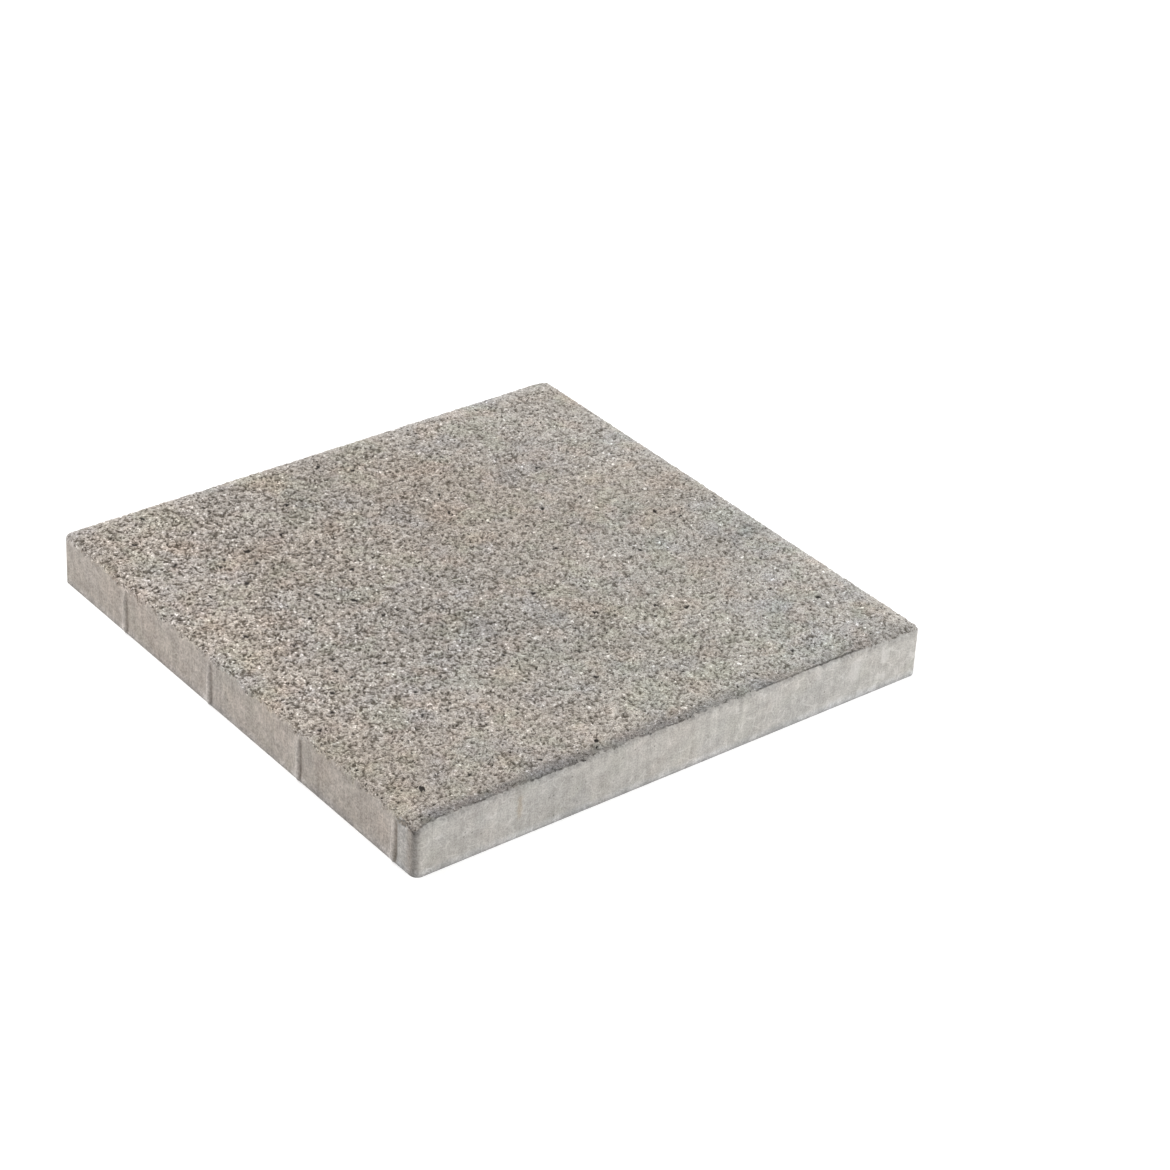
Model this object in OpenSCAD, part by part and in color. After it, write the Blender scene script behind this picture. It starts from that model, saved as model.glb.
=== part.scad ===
// Concrete paving slab: a square pressed slab with a rough walking face, a worn bevel
// around that face, rounded upright corners and tapered spacer ribs on two adjoining sides.
// It lies on its bed face, centred on the origin, with the walking face up.

/* [Slab] */
// Laying module, the side of the square with the spacer ribs included
module_side = 450; // [400:10:600]
// Thickness from the bed face to the walking face
thickness = 42; // [32:1:60]
// Radius of the four upright corners
corner_r = 6; // [3:0.5:12]

/* [Worn top edge] */
// Width of the bevel around the walking face
bevel_w = 10; // [4:0.5:14]
// Depth that the bevel has lost at the arris
bevel_drop = 1.5; // [0.5:0.1:4]

/* [Spacer ribs] */
// Ribs on each ribbed side
rib_count = 4; // [1:1:4]
// Distance from the side's first corner to its first rib
rib_first = 25; // [14:1:30]
// Spacing of the ribs along the side
rib_pitch = 112; // [60:1:120]
// How far a rib stands out above its foot, which sets the joint to the next slab
rib_proud = 2; // [1.5:0.5:3]
// Radius of a rib where its sloping foot ends
rib_foot_r = 4; // [3.5:0.5:5]
// Height of the sloping foot of a rib
rib_lead_h = 2.5; // [1:0.5:6]
// Radius of a rib where its sloping top end begins
rib_neck_r = 3.2; // [2.5:0.1:3.5]
// Distance from the walking face down to the top end of a rib
rib_stop = 7; // [4:0.5:12]
// Height of the sloping top end of a rib
rib_nose_h = 4; // [2:0.5:8]

/* [Hidden] */
$fn = 64;

// The body is smaller than the module by one joint, and its ribs fill the rest on two sides
body_side = module_side - rib_proud;
x_ribbed = -module_side / 2 + rib_proud;
y_plain = -module_side / 2;
y_ribbed = module_side / 2 - rib_proud;
// Depth of a rib's axis behind the face that it stands on
rib_inset = rib_foot_r - rib_proud;
// Radius of a rib at the bed face, where it hardly stands out, and at its top end
rib_toe_r = rib_inset + 0.5;
rib_tip_r = rib_neck_r / 2;
rib_h = thickness - rib_stop;
// Overrun of the cutting wedges past the faces that they trim
overrun = 5;

// Plan of the body, its least corner at the origin
module body_plan() {
    inner = body_side - 2 * corner_r;
    translate([corner_r, 0])
        square([inner, body_side]);
    translate([0, corner_r])
        square([body_side, inner]);
    for (x = [corner_r, body_side - corner_r], y = [corner_r, body_side - corner_r])
        translate([x, y])
            circle(r = corner_r);
}

// Wedge that takes the bevel off one top edge, which lies on the X axis with the slab on
// the +Y side of it and below
module bevel_wedge() {
    slope = bevel_drop / bevel_w;
    translate([-overrun, 0, 0])
        rotate([90, 0, 90])
            linear_extrude(height = body_side + 2 * overrun)
                polygon([
                    [bevel_w, 0],
                    [bevel_w, overrun],
                    [-overrun, overrun],
                    [-overrun, -bevel_drop - overrun * slope],
                ]);
}

// The body with its bevel, its least corner at the origin
module body() {
    difference() {
        linear_extrude(height = thickness)
            body_plan();
        translate([body_side / 2, body_side / 2, thickness])
            for (turn = [0 : 90 : 270])
                rotate([0, 0, turn])
                    translate([-body_side / 2, -body_side / 2, 0])
                        bevel_wedge();
    }
}

// One tapered spacer rib on its own axis, with a sloping foot and a sloping top end
module rib() {
    rotate_extrude()
        polygon([
            [0, 0],
            [rib_toe_r, 0],
            [rib_foot_r, rib_lead_h],
            [rib_neck_r, rib_h - rib_nose_h],
            [rib_tip_r, rib_h],
            [0, rib_h],
        ]);
}

// A row of ribs along +X, measured from the side's first corner
module rib_row() {
    for (i = [0 : rib_count - 1])
        translate([rib_first + i * rib_pitch, 0, 0])
            rib();
}

module slab() {
    color([0.62, 0.60, 0.56])
        union() {
            translate([x_ribbed, y_plain, 0])
                body();
            translate([x_ribbed + rib_inset, y_plain, 0])
                rotate([0, 0, 90])
                    rib_row();
            translate([x_ribbed, y_ribbed - rib_inset, 0])
                rib_row();
        }
}

slab();
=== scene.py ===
import math

import bpy
import numpy as np
from mathutils import Matrix, Vector, geometry, noise


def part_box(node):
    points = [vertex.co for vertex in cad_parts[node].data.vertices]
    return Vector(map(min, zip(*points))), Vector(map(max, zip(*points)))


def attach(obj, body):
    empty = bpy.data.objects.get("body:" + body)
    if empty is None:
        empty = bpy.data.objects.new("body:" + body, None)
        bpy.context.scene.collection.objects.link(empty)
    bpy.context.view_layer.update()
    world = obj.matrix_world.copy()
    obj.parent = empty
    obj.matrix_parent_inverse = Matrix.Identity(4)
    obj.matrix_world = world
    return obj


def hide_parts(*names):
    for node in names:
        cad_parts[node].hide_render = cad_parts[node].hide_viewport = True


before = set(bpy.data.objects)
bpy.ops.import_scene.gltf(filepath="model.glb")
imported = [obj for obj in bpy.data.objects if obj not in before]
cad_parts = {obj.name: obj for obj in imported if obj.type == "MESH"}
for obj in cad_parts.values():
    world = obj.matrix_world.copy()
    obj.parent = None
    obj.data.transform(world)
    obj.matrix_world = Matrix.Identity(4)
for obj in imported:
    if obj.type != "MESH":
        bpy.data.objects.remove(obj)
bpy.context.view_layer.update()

# Lengths are in millimetres here, and meshes are scaled to metres as they are made. X runs to the
# right, Y to the back and Z up. A stretch is a pair: a change starts at its first value and is
# complete at its second one, which may be the smaller. A drift is a wavelength and a layer.
MM = 0.001
low, high = (np.array(corner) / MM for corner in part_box("slab"))

# The cast piece, as the part's source has it
CORNER_R = 6.0
BEVEL_W = 10.0
BEVEL_DROP = 1.5
RIB_COUNT = 4
RIB_FIRST = 25.0
RIB_PITCH = 112.0
RIB_PROUD = 2.0
RIB_FOOT_R = 4.0
RIB_LEAD_H = 2.5
RIB_NECK_R = 3.2
RIB_TIP_R = RIB_NECK_R / 2
RIB_STOP = 7.0
RIB_NOSE_H = 4.0
RIB_TOE_PROUD = 0.5

THICKNESS = high[2]
RIB_H = THICKNESS - RIB_STOP
RIB_INSET = RIB_FOOT_R - RIB_PROUD
RIB_TOE_R = RIB_INSET + RIB_TOE_PROUD
BODY_LOW = np.array([low[0] + RIB_PROUD, low[1]])
BODY_HIGH = np.array([high[0], high[1] - RIB_PROUD])
CENTRE = (BODY_LOW + BODY_HIGH) / 2
HALF = (BODY_HIGH[0] - BODY_LOW[0]) / 2
ARRIS_Z = THICKNESS - BEVEL_DROP
# How far below the arris a rib ends, and the height in which its tip runs out into the side
RIB_TOP = RIB_STOP - BEVEL_DROP
RIB_RUN_OUT = 0.5

# Worn shape of the edge: how far the arris is rounded, how the bevel curves down to it, how much
# height each corner of the walking face has lost, and how far around it
ARRIS_ROUND = 1.6
BEVEL_CURVE = 1.6
CORNER_WEAR = {(-1, -1): 3.2, (1, -1): 0.3, (1, 1): 0.5, (-1, 1): 0.2}
WEAR_REACH = 9.0
# Height of a side in the unfolded plan, so that its foot comes to the bed face
WALL_H = ARRIS_Z - ARRIS_ROUND**2 / (4 * ARRIS_Z)

# Grains of the walking face, which also spill over the arris: their spacing, how much they differ
# in size, how steeply they lie, the share of white ones, and how far single ones stray over the
# border, as a share of its raggedness
GRAIN_PITCH = 1.75
GRAIN_GIRTH = 0.8
GRAIN_TILT = 0.22
WHITE_SHARE = 0.004
GRAIN_STRAY = 0.35
# How far down the sides grains may lie, and how far down the front one
GRAIN_REACH = 9.0
FRONT_REACH = 5.0
# Squares to spare around a grid of cells
SPARE_SQUARES = 2
# Clumps of grains, with deeper gaps between some of them: spacing, how much they differ in size,
# depth and width of the gaps, and the drift that says where there are any
CLUMP_PITCH = 7.0
CLUMP_GIRTH = 1.5
GAP_DEPTH = 0.6
GAP_W = (0.9, 0.3)
GAP_DRIFT = (8.0, 23.0)
GAP_SHARE = (0.0, 0.3)
# Depth of grain tops, of grit and of crevices below the true surface, half width of crevices, and
# the least depth of all
TOP_DEPTH = 0.90
GRIT_DEPTH = 0.16
CREVICE_DEPTH = (0.25, 1.25)
CREVICE_W = 0.6
LEAST_DEPTH = 0.04
# Slow swell of the walking face, and the uneven skin of the sides
SWELL_DEPTH = 0.15
SWELL_DRIFT = (34.0, 11.0)
SKIN_DEPTH = 0.03
# Pits: how many, their half length and half width, their depth, how dark they are painted as
# shade in them, and how far they stay from the edges
PIT_COUNT = 95
PIT_LENGTH = (1.2, 2.8)
PIT_WIDTH = (1.1, 1.8)
PIT_DEPTH = (1.3, 2.2)
PIT_DARK = (0.45, 1.0)
PIT_MARGIN = 6.0
# How much smaller they are at the right, and the stretch in which they become so
PIT_SHRINK = 0.2
PIT_SHRINK_START = (-120.0, 80.0)

# Spacing of the points: of the grit that shapes the grains, on the smooth sides, on the bed face,
# around the foot and along a rib, and how far the first three stray, as shares of their spacing
GRIT_PITCH = 1.53
WALL_PITCH = 6.0
BED_PITCH = 14.0
FOOT_PITCH = 4.0
RIB_ROW_PITCH = 2.2
GRIT_JITTER = 0.9
BED_JITTER = 0.6
# Steps round a corner of the foot ring, and how far its sides bow out to keep the ring convex
CORNER_STEPS = 8
FOOT_BOW = 0.05
# Clear strips between the points of the smooth sides and those of the grit and of the foot ring
GRIT_GAP = 1.5
FOOT_GAP = 2.0
# How far beside a rib's middle and above its top end only the rib's own points lie, and how far
# above that end the first of them do
RIB_CLEAR = 7.0
RIB_CLEAR_ABOVE = 2.0
RIB_START = 0.6
# Places across a rib as shares of its half width, which isn't taken as less than a least one, and
# places on the side next to the rib: one at a gap from it, and two at distances from its middle
RIB_CROSS = np.array([-1.0, -0.85, -0.6, -0.3, 0.0, 0.3, 0.6, 0.85, 1.0])
RIB_LEAST_HALF = 0.5
RIB_SIDE_GAP = 0.5
RIB_BESIDE = (5.0, 6.2)
# How much of a point's direction is a side's own one, at least: on the flat of that side, and where
# the point counts as one of the front
FLAT_FACING = 0.99
FRONT_FACING = 0.7
# Distance that is far from every rib, and a least length that keeps an angle defined
FAR = 999.0
LEAST_PART = 1e-6
# Modes of the triangulation, and the distance at which it takes two points for one
ALL_TRIANGLES = 0
INSIDE_ONLY = 1
SAME_POINT = 1e-7

# How far the rough grain runs down each side, and how ragged its border is there
SPILL = {"left": (3.4, 3.2), "right": (2.2, 2.2), "front": (-2.6, 1.1), "back": (2.6, 2.2)}
# Drifts by which the border wanders, with their strengths
BORDER_DRIFTS = {(16.0, 3.0): 1.6, (5.0, 7.0): 1.0}
# More spill and raggedness where the front edge is chipped, and the stretch in which that begins
CHIPPED = (2.4, 1.8)
CHIP_START = (155.0, 185.0)
# Stretch in which the border of the front margin straightens, and how far it does
CALM_START = (30.0, 90.0)
CALM = 0.85

# Smoother margin along the front edge: where it starts and is full, as distances from the edge, and
# how its start wanders. It is weaker at the left corner and fades towards the right one.
MARGIN_START = -18.0
MARGIN_FULL = -5.0
MARGIN_DRIFTS = {(30.0, 17.0): 4.0, (7.0, 19.0): 4.0}
MARGIN_LEFT = 0.5
MARGIN_LEFT_STRETCH = (2.0, 20.0)
MARGIN_FADE = 0.55
MARGIN_FADE_STRETCH = (-40.0, 160.0)
# Paler strips along the back and right edges, as distances from them
BACK_STRIP = (-15.0, -4.0)
RIGHT_STRIP = (-12.0, -3.0)
# Distances from the arris at which grain counts as spilt, and the share of the relief that is worn
# off there, in the margin and in the strips
SPILT = (-1.0, 2.5)
SPILT_WEAR = 0.3
MARGIN_WEAR = 0.3
STRIP_WEAR = 0.25

# Contrast of tones and of the dirt and painted shade in crevices at the left, and what it gains or
# loses elsewhere
CONTRAST = 1.37
CONTRAST_RIGHT = -0.36
CONTRAST_FRONT = -0.28
CONTRAST_BACK = 0.10
CONTRAST_STRIP = -0.05
TO_RIGHT = (-150.0, 150.0)
TO_FRONT = (-40.0, -190.0)
TO_BACK = (40.0, 190.0)
# Depths at which crevices take dirt and painted shade, and more of it in the gaps between clumps
DIRT_AND_SHADE_DEPTH = (0.55, 1.75)
GAP_DIRT_AND_SHADE = 0.08
# Tones run from 0 to 1: the middle one, and what grains, facets and the strips add to it
MID_TONE = 0.5
GRAIN_TONE = 0.38
FACET_TONE = 0.09
STRIP_TONE = 0.05

# Painted shadow on one hand of a rib: its width, how far it lies outside the rib along most of
# its height and inside it at the foot, and the heights at which it comes to do so
RIB_SHADOW_W = 1.0
RIB_SHADOW_OUT = 0.7
RIB_SHADOW_OUT_STRETCH = (3.0, 11.0)
RIB_SHADOW_IN = 0.8
RIB_SHADOW_IN_STRETCH = (8.0, 0.0)
# Painted light on a rib and on its other hand: where it begins and ends across the rib, its
# strength above as a share of that below, and the heights at which it grows and begins
RIB_LIGHT_BEGIN = (-3.0, -0.5)
RIB_LIGHT_END = (8.5, 1.0)
RIB_LIGHT_ABOVE = 0.4
RIB_LIGHT_GROWTH = (26.0, 8.0)
RIB_LIGHT_TOP = (RIB_H + 2.0, RIB_H - 6.0)
# Pale panel between the front left corner and the first rib, and the end of the front edge's dark
# line of dirt and painted shade on the left side, as distances from the corner
PANEL_BEGIN = (7.0, 12.0)
PANEL_END = (RIB_FIRST - RIB_FOOT_R + 1.0, RIB_FIRST - RIB_FOOT_R - 1.0)
RIM_END = (24.0, 14.0)
# Shade on the front left corner, as lengths round it
SHADE_BEGIN = (-4.5, 3.0)
SHADE_END = (8.6, 3.0)
# Space around the parts of the texture
TEXTURE_GAP = 4.0

SEED = 20
rng = np.random.default_rng(SEED)


# Shape of the slab
def plan_distance(points):
    """How far plan points lie outside the body's outline, and the direction out of it."""
    offset = points - CENTRE
    past = np.abs(offset) - (HALF - CORNER_R)
    reach = np.maximum(past, 0.0)
    length = np.hypot(reach[:, 0], reach[:, 1])
    distance = length + np.minimum(past.max(axis=1), 0.0) - CORNER_R
    nearest = np.eye(2)[past.argmax(axis=1)]
    way = np.where(length[:, None] > 0, reach, nearest)
    way = way / np.linalg.norm(way, axis=1)[:, None] * np.sign(offset)
    return distance, way


def facing(way):
    """Share that each side has of points which face these ways."""
    return {
        "left": np.maximum(-way[:, 0], 0) ** 2,
        "right": np.maximum(way[:, 0], 0) ** 2,
        "front": np.maximum(-way[:, 1], 0) ** 2,
        "back": np.maximum(way[:, 1], 0) ** 2,
    }


def smooth_step(value, start, end):
    """Runs smoothly from 0 to 1 as value runs from start to end."""
    share = np.clip((value - start) / (end - start), 0, 1)
    return share * share * (3 - 2 * share)


def drift(points, wavelength, layer):
    """Smooth noise of about -1 to 1 over plan points."""
    return np.array([noise.noise((x / wavelength, y / wavelength, layer)) for x, y in points])


def wander(points, drifts):
    """Sum of several drifts, each with a strength of its own."""
    return sum(strength * drift(points, *key) for key, strength in drifts.items())


def rib_radius(height):
    """Radius of a rib at a height above the bed face."""
    return np.interp(
        height,
        [0.0, RIB_LEAD_H, RIB_H - RIB_NOSE_H, RIB_H, RIB_H + RIB_RUN_OUT],
        [RIB_TOE_R, RIB_FOOT_R, RIB_NECK_R, RIB_TIP_R, 0.0],
    )


def rib_places():
    """Distances of the ribs from their side's first corner."""
    return RIB_FIRST + RIB_PITCH * np.arange(RIB_COUNT)


def rib_columns(height):
    """Places across a rib at a height, with three more on the side's face at either hand."""
    half = math.sqrt(max(rib_radius(height) ** 2 - RIB_INSET**2, RIB_LEAST_HALF**2))
    beside = np.array([half + RIB_SIDE_GAP, *RIB_BESIDE])
    return np.concatenate([-beside[::-1], RIB_CROSS * half, beside])


def beside_rib(points, way):
    """How far points of the left and back sides lie past the middle of the nearest rib."""
    along = np.full(len(points), -FAR)
    left = way[:, 0] < -FLAT_FACING
    back = way[:, 1] > FLAT_FACING
    along[left] = points[left, 1] - BODY_LOW[1]
    along[back] = points[back, 0] - BODY_LOW[0]
    past = along[:, None] - rib_places()
    nearest = np.abs(past).argmin(axis=1)
    return past[np.arange(len(points)), nearest]


def rib_relief(points, way, height):
    """How far the ribs stand out of the left and back sides at these points."""
    square = np.maximum(rib_radius(height) ** 2 - beside_rib(points, way) ** 2, 0.0)
    return np.maximum(np.sqrt(square) - RIB_INSET, 0.0)


def corner_wear(points):
    """Height that the corners of the walking face have lost at these points."""
    lost = np.zeros(len(points))
    for corner, depth in CORNER_WEAR.items():
        away = np.linalg.norm(points - CENTRE - HALF * np.array(corner), axis=1)
        lost += depth * np.exp(-((away / WEAR_REACH) ** 2))
    return lost


def fold(points, depth):
    """Folds plan points down over the arris and sinks them below the surface by depth."""
    distance, way = plan_distance(points)
    root = np.hypot(distance, ARRIS_ROUND)
    drop = (distance + root) / 2
    lean = (1 + distance / root) / 2
    bevel = BEVEL_DROP * np.clip(1 + distance / BEVEL_W, 0, 1) ** BEVEL_CURVE
    height = THICKNESS - bevel - drop - corner_wear(points)
    out = rib_relief(points, way, height) - depth
    flat = points + way * (lean * out - drop)[:, None]
    height = height + (1 - lean) * np.minimum(out, 0.0)
    return np.column_stack([flat, np.maximum(height, 0.0)])


# Points of the mesh on the unfolded plan
def jittered(pitch, reach, jitter):
    """One random point in each square of a grid that covers the body and reach around it."""
    steps = math.ceil((HALF + reach) / pitch)
    line = np.arange(-steps, steps + 1) * pitch
    grid = np.stack(np.meshgrid(line, line), axis=-1).reshape(-1, 2)
    return CENTRE + grid + rng.uniform(-jitter / 2, jitter / 2, grid.shape) * pitch


def near_rib(points):
    """Whether plan points lie in the strips of the sides that the ribs' own points fill."""
    distance, way = plan_distance(points)
    beside = np.abs(beside_rib(points, way)) < RIB_CLEAR
    return beside & (distance > RIB_TOP - RIB_CLEAR_ABOVE)


def rib_points():
    """Plan points across and along each rib, down to just above its foot."""
    lead = WALL_H - RIB_LEAD_H
    rows = np.arange(RIB_TOP - RIB_START, lead - RIB_ROW_PITCH / 2, RIB_ROW_PITCH)
    rows = np.append(rows, [lead, lead + RIB_LEAD_H / 2])
    points = []
    for place in rib_places():
        for row in rows:
            for column in rib_columns(ARRIS_Z - row):
                points.append([BODY_LOW[0] - row, BODY_LOW[1] + place + column])
                points.append([BODY_LOW[0] + place + column, BODY_HIGH[1] + row])
    return np.array(points)


def foot_points():
    """Plan points in a ring at the foot of the sides."""
    straight = HALF - CORNER_R
    count = round(2 * straight / FOOT_PITCH)
    even = np.linspace(-straight, straight, count + 1)
    ribbed = np.concatenate([place + rib_columns(0.0) for place in rib_places()]) - HALF
    clear = np.abs(even[:, None] - (rib_places() - HALF)).min(axis=1) > RIB_CLEAR
    on_ribs = np.sort(np.concatenate([even[clear], ribbed]))
    reach = CORNER_R + WALL_H
    ring = []
    # Each side runs anticlockwise and is followed by the corner at its end
    for turn, ribs in ((0, False), (1, False), (2, True), (3, True)):
        angle = turn * math.pi / 2
        spin = np.array([[math.cos(angle), -math.sin(angle)], [math.sin(angle), math.cos(angle)]])
        # Back ribs are counted from the left corner and left ribs from the front corner,
        # which is against the run of both sides
        along = -on_ribs[::-1] if ribs else even
        side = np.column_stack([along, np.full(len(along), -HALF - WALL_H)])
        side[:, 1] -= FOOT_BOW * (1 - (along / HALF) ** 2)
        steps = np.arange(1, CORNER_STEPS) / CORNER_STEPS * math.pi / 2
        arc = np.column_stack([straight + reach * np.sin(steps), -straight - reach * np.cos(steps)])
        ring.append(np.concatenate([side, arc]) @ spin.T + CENTRE)
    return np.concatenate(ring)


def grain_reach(way):
    """How far down the sides grains may lie at points that face these ways."""
    return np.where(way[:, 1] < -FRONT_FACING, FRONT_REACH, GRAIN_REACH)


def grit_points():
    """Close points on the walking face and as far down the sides as grains may lie."""
    points = jittered(GRIT_PITCH, GRAIN_REACH, GRIT_JITTER)
    distance, way = plan_distance(points)
    return points[(distance < grain_reach(way)) & ~near_rib(points)]


def wall_points():
    """Sparse points on the smooth parts of the sides."""
    points = jittered(WALL_PITCH, WALL_H, GRIT_JITTER)
    distance, way = plan_distance(points)
    between = (distance > grain_reach(way) + GRIT_GAP) & (distance < WALL_H - FOOT_GAP)
    return points[between & ~near_rib(points)]


def chipping(points, shares):
    """How far the front edge is chipped at plan points, from the shares of the sides there."""
    return shares["front"] * smooth_step(points[:, 0], *CHIP_START)


def rough_border(points):
    """How far plan points lie past the border of the rough grain, and how ragged it is there."""
    distance, way = plan_distance(points)
    shares = facing(way)
    spill, ragged = sum(shares[side][:, None] * np.array(SPILL[side]) for side in SPILL).T
    calm = CALM * shares["front"] * smooth_step(points[:, 0], *CALM_START)
    chip = chipping(points, shares)
    spill = spill + CHIPPED[0] * chip
    ragged = ragged * (1 - calm) + CHIPPED[1] * chip
    return distance - spill - ragged * wander(points, BORDER_DRIFTS), ragged


class Cells:
    """Irregular cells on the unfolded plan, one in each square of a grid."""

    def __init__(self, pitch, girth):
        self.pitch = pitch
        self.reach = math.ceil((HALF + GRAIN_REACH) / pitch) + SPARE_SQUARES
        self.count = 2 * self.reach
        line = np.arange(self.count) - self.reach
        squares = np.stack(np.meshgrid(line, line), axis=-1).reshape(-1, 2)
        self.total = len(squares)
        self.middle = CENTRE + (squares + rng.random((self.total, 2))) * pitch
        self.girth = rng.uniform(0, girth, self.total)

    def at(self, points):
        """The cell at each plan point, and how far inside that cell's border the point lies."""
        square = np.floor((points - CENTRE) / self.pitch).astype(int) + self.reach
        square = np.clip(square, 1, self.count - 2)
        numbers = []
        gaps = []
        for step in np.ndindex(3, 3):
            near = square + np.array(step) - 1
            number = near[:, 1] * self.count + near[:, 0]
            numbers.append(number)
            gaps.append(np.linalg.norm(points - self.middle[number], axis=1) - self.girth[number])
        order = np.argsort(gaps, axis=0)[:2]
        first, second = np.take_along_axis(np.array(gaps), order, axis=0)
        return np.take_along_axis(np.array(numbers), order[:1], axis=0)[0], second - first


class Grains(Cells):
    """Grains of stone, each with its own traits, and only some of them on the sides."""

    def __init__(self):
        super().__init__(GRAIN_PITCH, GRAIN_GIRTH)
        self.tone = rng.random(self.total)
        self.white = rng.random(self.total) < WHITE_SHARE
        self.top = TOP_DEPTH * rng.random(self.total)
        self.tilt = rng.normal(0, GRAIN_TILT, (self.total, 2))
        past, ragged = rough_border(self.middle)
        self.rough = past < ragged * rng.normal(0, GRAIN_STRAY, self.total)


def pit_darkness(points):
    """Darkness of the long or round pits of the walking face at plan points, painted as the shade in
    them, 0 outside them.
    """
    dark = np.zeros(len(points))
    reach = HALF - PIT_MARGIN
    for _ in range(PIT_COUNT):
        middle = CENTRE + rng.uniform(-reach, reach, 2)
        angle = rng.uniform(0, math.pi)
        along = np.array([math.cos(angle), math.sin(angle)]) / rng.uniform(*PIT_LENGTH)
        across = np.array([-math.sin(angle), math.cos(angle)]) / rng.uniform(*PIT_WIDTH)
        size = 1 - PIT_SHRINK * smooth_step(middle[0], *PIT_SHRINK_START)
        offset = (points - middle) / size
        inside = (offset @ along) ** 2 + (offset @ across) ** 2 < 1
        dark[inside] = rng.uniform(*PIT_DARK)
    return dark


def sheet_triangles(points, foot_count):
    """Delaunay triangles of plan points that start with the foot ring, in the order of the points."""
    found = geometry.delaunay_2d_cdt([Vector(p) for p in points], [], [], ALL_TRIANGLES, SAME_POINT)
    triangles = np.array(found[2])
    # A sliver between points of the foot ring alone would lie flat on the bed face
    return triangles[(triangles >= foot_count).any(axis=1)]


def bed_triangles(ring):
    """Points inside the bed face, and triangles inside the ring that face down."""
    inner = jittered(BED_PITCH, 0.0, BED_JITTER)
    inner = inner[plan_distance(inner)[0] < -BED_PITCH / 2]
    points = [Vector(p) for p in np.concatenate([ring, inner])]
    outline = list(range(len(ring)))
    found = geometry.delaunay_2d_cdt(points, [], [outline], INSIDE_ONLY, SAME_POINT)
    return inner, np.array(found[2])[:, ::-1]


# Wear and marks on the unfolded plan
def front_margin(points):
    """Strength of the smoother worn margin along the front edge of the walking face, which is also
    painted darker, partly with dirt and partly as shade.
    """
    start = MARGIN_START + wander(points, MARGIN_DRIFTS)
    margin = smooth_step(BODY_LOW[1] - points[:, 1], start, MARGIN_FULL)
    from_left = smooth_step(points[:, 0] - BODY_LOW[0], *MARGIN_LEFT_STRETCH)
    margin *= MARGIN_LEFT + (1 - MARGIN_LEFT) * from_left
    margin *= 1 - MARGIN_FADE * smooth_step(points[:, 0], *MARGIN_FADE_STRETCH)
    return margin


def rear_strips(points):
    """Strength of the paler strips along the back and right edges of the walking face."""
    back = smooth_step(points[:, 1] - BODY_HIGH[1], *BACK_STRIP)
    right = smooth_step(points[:, 0] - BODY_HIGH[0], *RIGHT_STRIP)
    return np.maximum(back, right)


def tone_contrast(points, strips):
    """How much tones and the dirt and painted shade of crevices differ at plan points."""
    to_right = smooth_step(points[:, 0], *TO_RIGHT)
    to_front = smooth_step(points[:, 1], *TO_FRONT) * (1 - to_right)
    to_back = smooth_step(points[:, 1], *TO_BACK)
    contrast = CONTRAST + CONTRAST_RIGHT * to_right + CONTRAST_FRONT * to_front
    return contrast + CONTRAST_BACK * to_back + CONTRAST_STRIP * strips


def rib_painted_shadow(points, way, height):
    """Nearness of points to the painted shadow on one hand of a rib, which bows in towards the foot."""
    square = rib_radius(height) ** 2 - RIB_INSET**2
    bow = RIB_SHADOW_OUT * smooth_step(height, *RIB_SHADOW_OUT_STRETCH)
    bow -= RIB_SHADOW_IN * smooth_step(height, *RIB_SHADOW_IN_STRETCH)
    away = beside_rib(points, way) + np.sqrt(np.maximum(square, 0.0)) + bow
    return np.where(square > 0, np.exp(-((away / RIB_SHADOW_W) ** 2)), 0.0)


def rib_painted_light(points, way, height):
    """Strength of the painted light on a rib and on its bright hand, most towards the foot."""
    past = beside_rib(points, way)
    band = smooth_step(past, *RIB_LIGHT_BEGIN) * smooth_step(past, *RIB_LIGHT_END)
    rise = RIB_LIGHT_ABOVE + (1 - RIB_LIGHT_ABOVE) * smooth_step(height, *RIB_LIGHT_GROWTH)
    return band * rise * smooth_step(height, *RIB_LIGHT_TOP)


def corner_shade(way, along):
    """Strength of the shade on the front left corner, from distances along the left side."""
    # Length round the corner from the end of the left side, negative on that side
    to_front = np.maximum(-way[:, 1], 0)
    turned = CORNER_R * np.arctan2(to_front, np.maximum(-way[:, 0], LEAST_PART))
    turned = np.where(along < CORNER_R, turned, CORNER_R - along)
    return (way[:, 0] < 0) * smooth_step(turned, *SHADE_BEGIN) * smooth_step(turned, *SHADE_END)


def side_marks(points, way, height):
    """Values for the material that belong to the sides, at plan points with these heights."""
    shares = facing(way)
    along = points[:, 1] - BODY_LOW[1]
    panel = smooth_step(along, *PANEL_BEGIN) * smooth_step(along, *PANEL_END)
    return {
        "edge": rough_border(points)[0],
        "front": shares["front"],
        "rim": np.maximum(shares["front"], shares["left"] * smooth_step(along, *RIM_END)),
        "left": shares["left"],
        "panel": shares["left"] * panel,
        "painted_rib_shadow": rib_painted_shadow(points, way, height),
        "painted_rib_light": rib_painted_light(points, way, height),
        "corner": corner_shade(way, along),
    }


# Mesh of the slab
def new_mesh(places, faces):
    """Mesh of triangles between places."""
    mesh = bpy.data.meshes.new("slab")
    mesh.vertices.add(len(places))
    mesh.vertices.foreach_set("co", (places * MM).ravel())
    mesh.loops.add(faces.size)
    mesh.loops.foreach_set("vertex_index", faces.ravel().astype(np.int32))
    mesh.polygons.add(len(faces))
    mesh.polygons.foreach_set("loop_start", np.arange(0, faces.size, 3, dtype=np.int32))
    return mesh


def set_values(mesh, name, domain, values):
    """Values for the material to read, one for each point or face."""
    layer = mesh.attributes.new(name, "FLOAT", domain)
    layer.data.foreach_set("value", np.asarray(values, np.float32))


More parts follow.
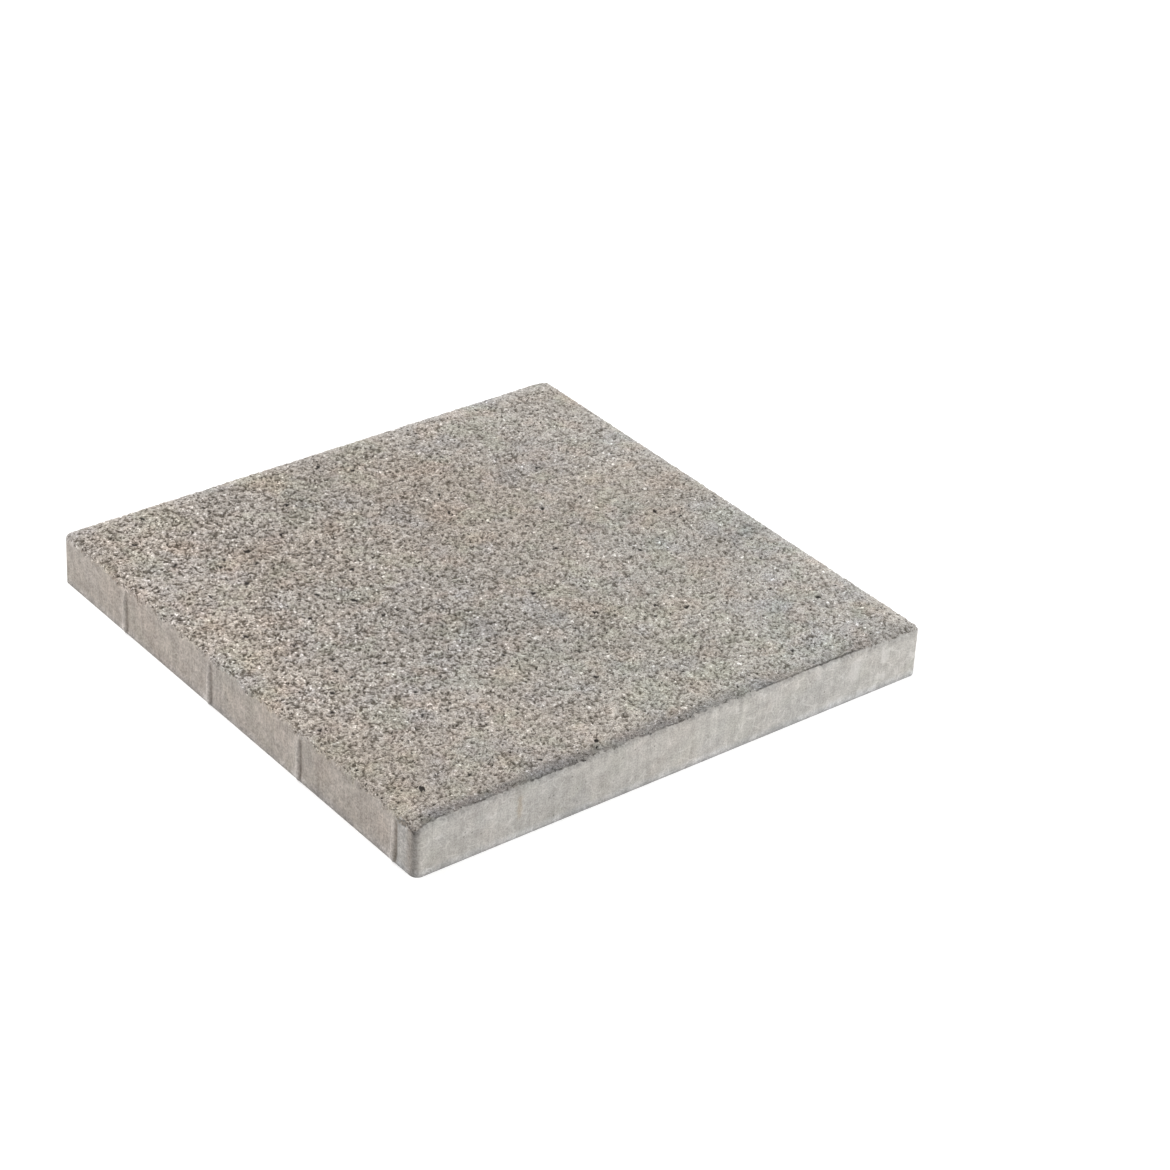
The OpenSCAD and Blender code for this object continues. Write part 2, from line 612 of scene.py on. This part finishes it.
def lay_flat(mesh, faces, plan, places, sheet_faces):
    """Texture places: the unfolded walking face and sides, with the bed face beside them."""
    sheet = 2 * (HALF + WALL_H) + 2 * TEXTURE_GAP
    size = sheet + 2 * HALF + 2 * TEXTURE_GAP
    flat = plan - CENTRE + sheet / 2
    bed = places[:, :2] - CENTRE + HALF + TEXTURE_GAP + np.array([sheet, 0.0])
    corners = np.concatenate([flat[faces[:sheet_faces].ravel()], bed[faces[sheet_faces:].ravel()]])
    layer = mesh.uv_layers.new(name="OFBake")
    layer.data.foreach_set("uv", (corners / size).astype(np.float32).ravel())


def make_slab():
    """The cast piece, with the values that its material reads."""
    foot = foot_points()
    plan = np.concatenate([foot, grit_points(), wall_points(), rib_points()])
    count = len(plan)
    triangles = sheet_triangles(plan, len(foot))
    grains = Grains()
    clumps = Cells(CLUMP_PITCH, CLUMP_GIRTH)
    distance, way = plan_distance(plan)
    margin = front_margin(plan)
    chip = chipping(plan, facing(way))
    strips = rear_strips(plan)
    contrast = tone_contrast(plan, strips)

    # Depth of each point: grain tops, their slant, grit, crevices, gaps between clumps, a slow
    # swell, and pits
    number, inside = grains.at(plan)
    rough = grains.rough[number]
    slant = ((plan - grains.middle[number]) * grains.tilt[number]).sum(axis=1)
    crevice = np.clip(1 - inside / CREVICE_W, 0, 1) * rng.uniform(*CREVICE_DEPTH, count)
    gap = smooth_step(clumps.at(plan)[1], *GAP_W) * smooth_step(drift(plan, *GAP_DRIFT), *GAP_SHARE)
    relief = grains.top[number] + slant + rng.normal(0, GRIT_DEPTH, count) + crevice + GAP_DEPTH * gap
    spilt = smooth_step(distance, *SPILT)
    worn = (1 - MARGIN_WEAR * margin * (1 - chip)) * (1 - STRIP_WEAR * strips) * (1 - SPILT_WEAR * spilt)
    relief = np.maximum(relief, 0.0) * worn + LEAST_DEPTH
    # Crevices darken with depth: dirt that lies in them and painted shade
    dirt_and_shade = np.where(rough, contrast * (smooth_step(relief, *DIRT_AND_SHADE_DEPTH) + GAP_DIRT_AND_SHADE * gap), 0.0)
    swell = SWELL_DEPTH * (1 + drift(plan, *SWELL_DRIFT))
    skin = LEAST_DEPTH + SKIN_DEPTH * rng.random(count)
    depth = np.where(rough, relief + swell, skin)
    pit = np.where(rough, pit_darkness(plan), 0.0)
    depth = np.where(pit > 0, rng.uniform(*PIT_DEPTH, count), depth)
    depth[:len(foot)] = 0.0
    places = fold(plan, depth)
    places[:len(foot), 2] = 0.0
    height = places[:, 2]

    # Bed face inside the foot ring
    inner, bed = bed_triangles(places[:len(foot), :2])
    bed = np.where(bed < len(foot), bed, bed - len(foot) + count)
    places = np.concatenate([places, np.column_stack([inner, np.zeros(len(inner))])])
    faces = np.concatenate([triangles, bed])
    mesh = new_mesh(places, faces)

    # Values that the material reads
    owner = grains.at(plan[triangles].mean(axis=1))[0]
    tone = GRAIN_TONE * (grains.tone[owner] - MID_TONE) + rng.laplace(0, FACET_TONE, len(owner))
    tone = MID_TONE + tone * contrast[triangles].mean(axis=1)
    tone = tone + STRIP_TONE * strips[triangles].mean(axis=1)
    tone = np.clip(np.where(grains.white[owner], 1.0, tone), 0, 1)
    face_rough = np.concatenate([grains.rough[owner], np.zeros(len(bed), bool)])
    mesh.polygons.foreach_set("use_smooth", ~face_rough)
    set_values(mesh, "grain", "FACE", np.concatenate([tone, np.full(len(bed), MID_TONE)]))
    set_values(mesh, "rough", "FACE", face_rough)
    by_point = side_marks(plan, way, height)
    by_point.update({"margin": margin, "dirt_and_shade": dirt_and_shade, "pit": pit, "chip": chip})
    for name, values in by_point.items():
        set_values(mesh, name, "POINT", np.concatenate([values, np.zeros(len(inner))]))
    lay_flat(mesh, faces, plan, places, len(triangles))
    mesh.update()
    mesh.validate()
    return bpy.data.objects.new("slab_cast", mesh)


# Materials: colours are linear red, green and blue, and a tint is what a colour is multiplied by
class Shader:
    """A node tree, with short calls for the nodes that it needs."""

    def __init__(self, owner):
        owner.use_nodes = True
        self.tree = owner.node_tree
        self.tree.nodes.clear()

    def node(self, kind, inputs=None, **settings):
        made = self.tree.nodes.new(kind)
        for key, value in settings.items():
            setattr(made, key, value)
        for key, value in (inputs or {}).items():
            socket = made.inputs[key]
            if isinstance(value, bpy.types.NodeSocket):
                self.tree.links.new(value, socket)
            elif socket.type == "RGBA":
                socket.default_value = (*value, 1.0)
            else:
                socket.default_value = value
        return made

    def math(self, operation, a, b=0.0):
        return self.node("ShaderNodeMath", {0: a, 1: b}, operation=operation).outputs[0]

    def product(self, *values):
        result = values[0]
        for value in values[1:]:
            result = self.math("MULTIPLY", result, value)
        return result

    def value(self, name):
        return self.node("ShaderNodeAttribute", attribute_name=name).outputs["Fac"]

    def step(self, value, start, end, low=0.0, high=1.0):
        """Runs smoothly from low to high as value runs from start to end, which may be the smaller."""
        made = self.node(
            "ShaderNodeMapRange",
            {"Value": value, "From Min": start, "From Max": end, "To Min": low, "To Max": high},
            interpolation_type="SMOOTHSTEP",
        )
        return made.outputs["Result"]

    def noise(self, vector, wavelength, detail=2.0, roughness=0.5):
        """Noise from 0 to 1 whose features are about a wavelength across."""
        made = self.node(
            "ShaderNodeTexNoise",
            {"Vector": vector, "Scale": 1 / (wavelength * MM), "Detail": detail, "Roughness": roughness},
        )
        return made.outputs["Fac"]

    def cells(self, vector, pitch, **settings):
        """Distance from the middles of random cells or from what the settings name, over the pitch."""
        made = self.node(
            "ShaderNodeTexVoronoi",
            {"Vector": vector, "Scale": 1 / (pitch * MM), "Randomness": 1.0},
            **settings,
        )
        return made.outputs["Distance"]

    def moved(self, vector, offset=(0.0, 0.0, 0.0), scale=(1.0, 1.0, 1.0)):
        made = self.node("ShaderNodeMapping", {"Vector": vector, "Location": offset, "Scale": scale})
        return made.outputs["Vector"]

    def mix(self, factor, a, b, blend="MIX"):
        made = self.node(
            "ShaderNodeMix", {"Factor": factor, 6: a, 7: b}, data_type="RGBA", blend_type=blend
        )
        return made.outputs[2]

    def tint(self, factor, colour, by):
        """Colour multiplied by another one, as far as the factor says."""
        return self.mix(factor, colour, by, "MULTIPLY")

    def ramp(self, factor, stops):
        made = self.node("ShaderNodeValToRGB", {"Fac": factor})
        bands = made.color_ramp.elements
        bands[0].position, bands[1].position = stops[0][0], stops[-1][0]
        for place, _ in stops[1:-1]:
            bands.new(place)
        for band, (_, colour) in zip(bands, stops):
            band.color = (*colour, 1.0)
        return made.outputs["Color"]

    def seen(self):
        """1 for rays from the camera, from a glossy surface or through glass, and 0 for others."""
        sight = self.node("ShaderNodeLightPath").outputs
        seen = self.math("MAXIMUM", sight["Is Camera Ray"], sight["Is Glossy Ray"])
        return self.math("MAXIMUM", seen, sight["Is Transmission Ray"])

    def output(self, kind, shader):
        self.node(kind, {"Surface": shader})


# Part of the noise that each pattern is cut from, as an offset in metres
OFFSETS = {
    "fleck": (0.23, 0.41, 0.07),
    "grain pore": (0.61, 0.19, 0.43),
    "cloud": (0.2, 0.3, 0.1),
    "scratch": (0.4, 0.1, 0.2),
    "cool": (0.0, 0.0, 0.0),
    "green": (0.31, 0.17, 0.05),
    "pink": (0.13, 0.47, 0.25),
    "wide": (0.53, 0.29, 0.11),
    "warm": (0.71, 0.05, 0.37),
}
# Stretch of a noise that takes in most of it, and one that leaves soft patches
MOST = (0.3, 0.7)
SOME = (0.50, 0.66)


class Concrete(Shader):
    """The slab's material, with what all its colours read."""

    def __init__(self, owner):
        super().__init__(owner)
        self.place = self.node("ShaderNodeTexCoord").outputs["Object"]
        self.axes = self.node("ShaderNodeSeparateXYZ", {"Vector": self.place}).outputs
        self.rough = self.value("rough")
        self.front = self.value("front")
        self.margin = self.value("margin")

    def along(self, axis, start, end, low=0.0, high=1.0):
        """Runs smoothly from low to high along an axis, from start to end in millimetres."""
        return self.step(self.axes[axis], start * MM, end * MM, low, high)

    def pattern(self, name, wavelength, detail=2.0, roughness=0.5):
        """Noise from the part of it that belongs to a pattern."""
        return self.noise(self.moved(self.place, OFFSETS[name]), wavelength, detail, roughness)


# Colours of the grains by tone, of the film on the margin with its strength, and of pits, painted
# near black as the shade in them, and tints of specks, of clean stone and of the dirt and painted
# shade between grains
GRAIN_COLOURS = [
    (0.00, (0.134, 0.124, 0.110)),
    (0.12, (0.247, 0.233, 0.212)),
    (0.50, (0.418, 0.401, 0.372)),
    (0.88, (0.549, 0.534, 0.510)),
    (1.00, (0.806, 0.798, 0.782)),
]
FILM_COLOUR = (0.36, 0.34, 0.315)
FILM_SHARE = 0.15
PIT_SHADE = (0.035, 0.032, 0.03)
DARK_SPECK = (0.66, 0.645, 0.625)
PALE_SPECK = (1.28, 1.285, 1.295)
CLEAN = (1.04, 1.04, 1.04)
DIRT_AND_SHADE_TINT = (0.353, 0.334, 0.307)

# Colours of the skin, and of its scratches, bloom and pores with their strengths
DARK_SKIN = (0.317, 0.307, 0.290)
PALE_SKIN = (0.488, 0.476, 0.451)
SCRATCH_COLOUR = (0.62, 0.61, 0.59)
SCRATCH_SHARE = 0.38
BLOOM_COLOUR = (0.60, 0.59, 0.575)
BLOOM_SHARE = 0.4
PORE_COLOUR = (0.12, 0.115, 0.105)
PORE_SHARE = 0.6
# Rusty run: its tint, where it is, how far it wobbles, and where it fades in beside its middle
RUST = (0.90, 0.84, 0.77)
RUST_X = -138.0 * MM
RUST_WOBBLE = 5.0 * MM
RUST_W = (3.5 * MM, 0.5 * MM)
# How far streaks are drawn out upwards
STREAK_SCALE = (1.0, 1.0, 0.03)

# Patches of tint over the whole piece: pattern, wavelength and tint
PATCHES = [
    ("cool", 30.0, (0.965, 0.982, 1.022)),
    ("green", 27.0, (0.97, 1.0, 0.962)),
    ("pink", 29.0, (1.03, 0.988, 0.967)),
]
# Strength of patches on the smooth sides
SIDE_PATCHES = 0.35
# Tints between which wide patches vary
COOL_PATCH = (1.005, 1.005, 1.015)
WARM_PATCH = (1.03, 0.997, 0.97)
# Direction from the back left to the front right, how far it runs from the middle, and the tints
# that change along it
ACROSS = (0.77, 0.64)
ACROSS_REACH = 300 * MM
BROWNER = (1.028, 0.992, 0.975)
GREYER = (0.970, 0.993, 1.024)
# Tint of the darker middle and back of the walking face
SHADED = (0.90, 0.90, 0.90)
# Soft areas of the walking face: stretches along the axes at which each fades in, and its tint
AREAS = [
    # Duller at the middle of the right
    ([("X", 60, 120), ("Y", -130, -70), ("Y", 80, 20)], (0.955, 0.96, 0.96)),
    # Bluer along the back edge
    ([("Y", 205, 222)], (0.98, 1.0, 1.03)),
    # Brighter at the middle of the left
    ([("X", -120, -200), ("Y", -140, -60), ("Y", 90, 20)], (1.075, 1.07, 1.065)),
    # Darker and pinker at the front left corner
    ([("Y", -90, -190), ("X", -40, -140)], (0.985, 0.958, 0.938)),
    # Paler and cooler at the middle of the front
    ([("Y", -20, -120), ("X", -60, 20), ("X", 180, 80)], (1.012, 1.032, 1.03)),
    # Paler at the front right corner
    ([("X", 130, 200), ("Y", -60, -120)], (1.08, 1.075, 1.065)),
]
# Tints of the worn margin, darker partly from dirt and partly as painted shade, of the ragged dark
# line of dirt and painted shade that ends it, and of a darker band below that
MARGIN_DIRT_AND_SHADE = (0.53, 0.553, 0.585)
LINE_TINT = (0.24, 0.235, 0.23)
BELOW_BORDER_TINT = (0.74, 0.745, 0.75)


def grain_colour(s):
    """Grains of the walking face: each has a tone of its own, and dirt and painted shade lie between
    them.
    """
    grain = s.ramp(s.value("grain"), GRAIN_COLOURS)
    grain = s.mix(s.product(s.margin, FILM_SHARE), grain, FILM_COLOUR)
    speck = s.step(s.noise(s.place, wavelength=0.8), *MOST)
    grain = s.tint(1.0, grain, s.mix(speck, DARK_SPECK, PALE_SPECK))
    fleck = s.step(s.pattern("fleck", wavelength=1.3, detail=1.0), *MOST, low=0.80, high=1.17)
    pore = s.step(s.pattern("grain pore", wavelength=1.7, detail=1.0), 0.26, 0.36, low=0.28)
    hole = s.step(s.cells(s.place, pitch=7.0), 0.07, 0.14, low=0.15)
    grain = s.tint(1.0, grain, s.product(fleck, pore, hole))
    # Darker with depth between grains: dirt and painted shade
    crevice = s.step(s.value("dirt_and_shade"), 0.0, 1.1)
    grain = s.tint(1.0, grain, s.mix(crevice, CLEAN, DIRT_AND_SHADE_TINT))
    # Pits painted near black: painted shade in the holes
    return s.mix(s.step(s.value("pit"), 0.05, 0.55), grain, PIT_SHADE)


def skin_colour(s):
    """Smooth cement skin of the sides: mottled, sandy, with streaks, scratches, pores and a stain."""
    skin = s.mix(s.noise(s.place, wavelength=20.0, detail=5.0, roughness=0.62), DARK_SKIN, PALE_SKIN)
    upright = s.noise(s.moved(s.place, scale=STREAK_SCALE), wavelength=3.2, detail=3.0, roughness=0.6)
    streak = s.step(upright, *MOST, low=0.92, high=1.06)
    # Sand has less contrast on the front side
    sand_low = s.step(s.front, 0.0, 1.0, low=0.77, high=0.82)
    sand_high = s.step(s.front, 0.0, 1.0, low=1.21, high=1.165)
    sand = s.step(s.noise(s.place, wavelength=1.3), 0.28, 0.72, sand_low, sand_high)
    cloud = s.pattern("cloud", wavelength=7.0, detail=3.0, roughness=0.6)
    cloud = s.step(cloud, *MOST, low=0.90, high=1.09)
    skin = s.tint(1.0, skin, s.product(streak, sand, cloud))

    # Pale scratches, whitish bloom towards the right, and pores
    crack = s.step(s.cells(s.place, pitch=9.0, feature="DISTANCE_TO_EDGE"), 0.07, 0.02)
    scratched = s.step(s.pattern("scratch", wavelength=8.0), 0.50, 0.62)
    skin = s.mix(s.product(crack, scratched, SCRATCH_SHARE), skin, SCRATCH_COLOUR)
    bloom = s.step(s.noise(s.place, wavelength=10.0, detail=3.0), 0.52, 0.66)
    skin = s.mix(s.product(bloom, s.along("X", 80, 200), BLOOM_SHARE), skin, BLOOM_COLOUR)
    pore = s.step(s.cells(s.place, pitch=7.0), 0.14, 0.06)
    porous = s.step(s.noise(s.place, wavelength=26.0), 0.50, 0.60)
    skin = s.mix(s.product(pore, porous, PORE_SHARE), skin, PORE_COLOUR)

    # A rusty run on the front side
    sideways = s.math("ABSOLUTE", s.math("SUBTRACT", s.axes["X"], RUST_X))
    wobble = s.product(s.math("SUBTRACT", s.noise(s.place, wavelength=5.0), 0.5), RUST_WOBBLE)
    run = s.step(s.math("ADD", sideways, wobble), *RUST_W)
    stain = s.product(run, s.along("Z", 12, 20), s.along("Z", 36, 30), s.front)
    skin = s.tint(stain, skin, RUST)

    left = s.value("left")
    painted_rib_shadow = s.value("painted_rib_shadow")
    tints = [
        # Paler to the right
        (s.along("X", -140, 100), (1.09, 1.085, 1.08)),
        # Warmer on the left side, and darker at its far end
        (left, (1.075, 1.015, 0.985)),
        (s.product(left, s.along("Y", 50, 220)), (0.955, 0.965, 0.97)),
        # Painted light on the ribs, with a painted shadow beside them, which is darker near the front
        (s.value("painted_rib_light"), (1.27, 1.30, 1.34)),
        (painted_rib_shadow, (0.68, 0.665, 0.65)),
        (s.product(painted_rib_shadow, s.along("Y", 0, -80)), (0.80, 0.79, 0.78)),
        # Shaded front corner, and a pale panel before the first rib
        (s.value("corner"), (0.60, 0.615, 0.63)),
        (s.value("panel"), (1.08, 1.15, 1.22)),
        # Painted light on the foot, as from the floor, with a thin painted contact shadow at its bottom
        (s.along("Z", 7.5, 1.5), (1.20, 1.235, 1.285)),
        (s.along("Z", 1.4, 0.5), (0.95, 0.955, 0.965)),
    ]
    for factor, by in tints:
        skin = s.tint(factor, skin, by)
    return skin


def patchy(s, colour):
    """Soft patches of tint over the whole piece, browner to the left and greyer to the right."""
    share = s.step(s.rough, 0.0, 1.0, low=SIDE_PATCHES)
    for name, wavelength, by in PATCHES:
        patch = s.step(s.pattern(name, wavelength, detail=3.0), *SOME)
        colour = s.tint(s.product(patch, share), colour, by)
    wide = s.step(s.pattern("wide", wavelength=75.0), 0.36, 0.64, low=0.95, high=1.05)
    warm = s.step(s.pattern("warm", wavelength=90.0), 0.38, 0.62)
    patched = s.tint(1.0, s.tint(1.0, colour, wide), s.mix(warm, COOL_PATCH, WARM_PATCH))
    colour = s.mix(share, colour, patched)
    across = s.math("SUBTRACT", s.product(s.axes["X"], ACROSS[0]), s.product(s.axes["Y"], ACROSS[1]))
    browner = s.product(s.step(across, ACROSS_REACH, -ACROSS_REACH), share)
    colour = s.tint(browner, colour, BROWNER)
    return s.tint(s.product(s.step(across, 0.0, ACROSS_REACH), share), colour, GREYER)


def shaded(s, colour):
    """Areas of the walking face that are darker, paler or of another tint than the rest."""
    shade = s.product(
        s.along("X", 180, -20),
        s.rough,
        s.along("Y", -180, -50, low=0.3),
        s.along("X", -170, -20, low=0.1),
    )
    colour = s.tint(shade, colour, SHADED)
    for stretches, by in AREAS:
        area = s.product(*(s.along(*stretch) for stretch in stretches), s.rough)
        colour = s.tint(area, colour, by)
    return colour


def front_edge_dirt_and_shade(s, colour):
    """Worn margin along the front edge, darkened by dirt and painted shade, ending in a ragged dark line
    of dirt and painted shade, and a darker band below it.
    """
    # Margin darkened by dirt and by painted shade of the bevel that faces away from the light
    colour = s.tint(s.product(s.margin, s.rough), colour, MARGIN_DIRT_AND_SHADE)
    jag = s.math("SUBTRACT", s.noise(s.place, wavelength=1.8, detail=3.0, roughness=0.6), 0.5)
    jag = s.product(jag, s.along("X", 30, 90, low=3.4, high=1.6))
    edge = s.math("ADD", s.value("edge"), jag)
    strength = s.step(s.noise(s.place, wavelength=30.0), 0.42, 0.62, low=0.10, high=0.75)
    strength = s.math("MAXIMUM", strength, s.along("X", 80, 130, high=0.9))
    strength = s.math("MAXIMUM", strength, s.along("X", -200, -210, high=0.65))
    whole = s.product(s.value("rim"), s.math("SUBTRACT", 1.0, s.value("chip")))
    # Dark line along the arris: dirt and painted shade
    line = s.product(s.step(edge, -1.8, -0.4), s.step(edge, 1.2, 0.4), whole, strength)
    colour = s.tint(line, colour, LINE_TINT)
    # Patchy darker band on the front side just below the border
    below_border = s.product(
        s.step(edge, 7.0, 2.2),
        s.step(s.noise(s.place, wavelength=4.0, detail=3.0), 0.35, 0.65, low=0.45),
        s.math("SUBTRACT", 1.0, s.rough),
        s.front,
    )
    return s.tint(below_border, colour, BELOW_BORDER_TINT)


def concrete():
    """The slab's material: smooth skin on the sides and grains on the walking face."""
    material = bpy.data.materials.new("concrete")
    s = Concrete(material)
    colour = s.mix(s.rough, skin_colour(s), grain_colour(s))
    for change in (patchy, shaded, front_edge_dirt_and_shade):
        colour = change(s, colour)
    # Fine roughness that is smaller than the mesh
    bump = s.node(
        "ShaderNodeBump",
        {
            "Height": s.noise(s.place, wavelength=0.8, detail=3.0, roughness=0.6),
            "Strength": s.step(s.rough, 0.0, 1.0, low=0.5, high=0.8),
            "Distance": 0.35 * MM,
        },
    )
    shader = s.node(
        "ShaderNodeBsdfPrincipled",
        {
            "Base Color": colour,
            "Roughness": 0.92,
            "Specular IOR Level": 0.2,
            "Normal": bump.outputs["Normal"],
        },
    )
    s.output("ShaderNodeOutputMaterial", shader.outputs["BSDF"])
    return material


# Stage, light and camera, with lengths of the stage and the lamps in metres
WHITE = (1.0, 1.0, 1.0)
FLOOR_COLOUR = (0.75, 0.75, 0.75)
FLOOR_LIFT = 0.40
FLOOR_HALF = 1.4
FLOOR_Z = -0.2 * MM
WORLD_LIGHT = 0.50
# From a fit of the slab's edges in the photograph: angles in degrees, the rest in millimetres
AZIMUTH = -39.857
ELEVATION = 31.463
ROLL = 3.533
DISTANCE = 2434.1
ASIDE = (-74.23, -30.13)
LENS = 101.84
SENSOR = 36.0


def floor_paint():
    """Pale floor that the camera sees as white where no shadow falls on it."""
    material = bpy.data.materials.new("pale_floor")
    s = Shader(material)
    paint = s.node("ShaderNodeBsdfDiffuse", {"Color": FLOOR_COLOUR})
    lift = s.node("ShaderNodeEmission", {"Color": WHITE, "Strength": s.product(s.seen(), FLOOR_LIFT)})
    both = s.node("ShaderNodeAddShader", {0: paint.outputs[0], 1: lift.outputs[0]})
    s.output("ShaderNodeOutputMaterial", both.outputs[0])
    return material


def make_floor():
    """Square floor just below the slab."""
    mesh = bpy.data.meshes.new("floor")
    turns = ((-1, -1), (1, -1), (1, 1), (-1, 1))
    corners = [(x * FLOOR_HALF, y * FLOOR_HALF, FLOOR_Z) for x, y in turns]
    mesh.from_pydata(corners, [], [(0, 1, 2, 3)])
    mesh.materials.append(floor_paint())
    return bpy.data.objects.new("floor", mesh)


def make_world():
    """Even soft light from all round, behind a white background."""
    world = bpy.data.worlds.new("studio")
    s = Shader(world)
    level = s.node("ShaderNodeMix", {"Factor": s.seen(), "A": WORLD_LIGHT, "B": 1.0})
    sky = s.node("ShaderNodeBackground", {"Color": WHITE, "Strength": level.outputs["Result"]})
    s.output("ShaderNodeOutputWorld", sky.outputs[0])
    bpy.context.scene.world = world


def add_lamp(name, place, size, power, colour):
    """Square soft box that faces the slab."""
    lamp = bpy.data.lights.new(name, "AREA")
    lamp.size = size
    lamp.energy = power
    lamp.color = colour
    holder = bpy.data.objects.new(name, lamp)
    holder.location = place
    holder.rotation_euler = Vector(place).to_track_quat("Z", "Y").to_euler()
    bpy.context.scene.collection.objects.link(holder)


def add_camera():
    """Camera at the photograph's angle."""
    azimuth, elevation, roll = (math.radians(angle) for angle in (AZIMUTH, ELEVATION, ROLL))
    right = Vector((math.cos(azimuth), math.sin(azimuth), 0))
    back = Vector((
        math.sin(azimuth) * math.cos(elevation),
        -math.cos(azimuth) * math.cos(elevation),
        math.sin(elevation),
    ))
    up = back.cross(right)
    turn = Matrix((right, up, back)).transposed() @ Matrix.Rotation(roll, 3, "Z")
    lens = bpy.data.cameras.new("camera")
    lens.lens = LENS
    lens.sensor_width = SENSOR
    holder = bpy.data.objects.new("camera", lens)
    place = turn @ Vector((-ASIDE[0] * MM, -ASIDE[1] * MM, DISTANCE * MM))
    holder.matrix_world = Matrix.Translation(place) @ turn.to_4x4()
    bpy.context.scene.collection.objects.link(holder)
    bpy.context.scene.camera = holder


scene = bpy.context.scene
scene.view_settings.view_transform = "Standard"

slab = make_slab()
slab.data.materials.append(concrete())
scene.collection.objects.link(slab)
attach(slab, "root")
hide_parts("slab")

floor = make_floor()
scene.collection.objects.link(floor)

make_world()
add_lamp("key_soft_box", place=(-1.0, 1.9, 1.6), size=1.8, power=62.0, colour=(1.0, 0.98, 0.95))
add_lamp("right_soft_box", place=(1.0, -1.9, 1.3), size=1.8, power=46.0, colour=(1.0, 0.99, 0.975))
add_camera()
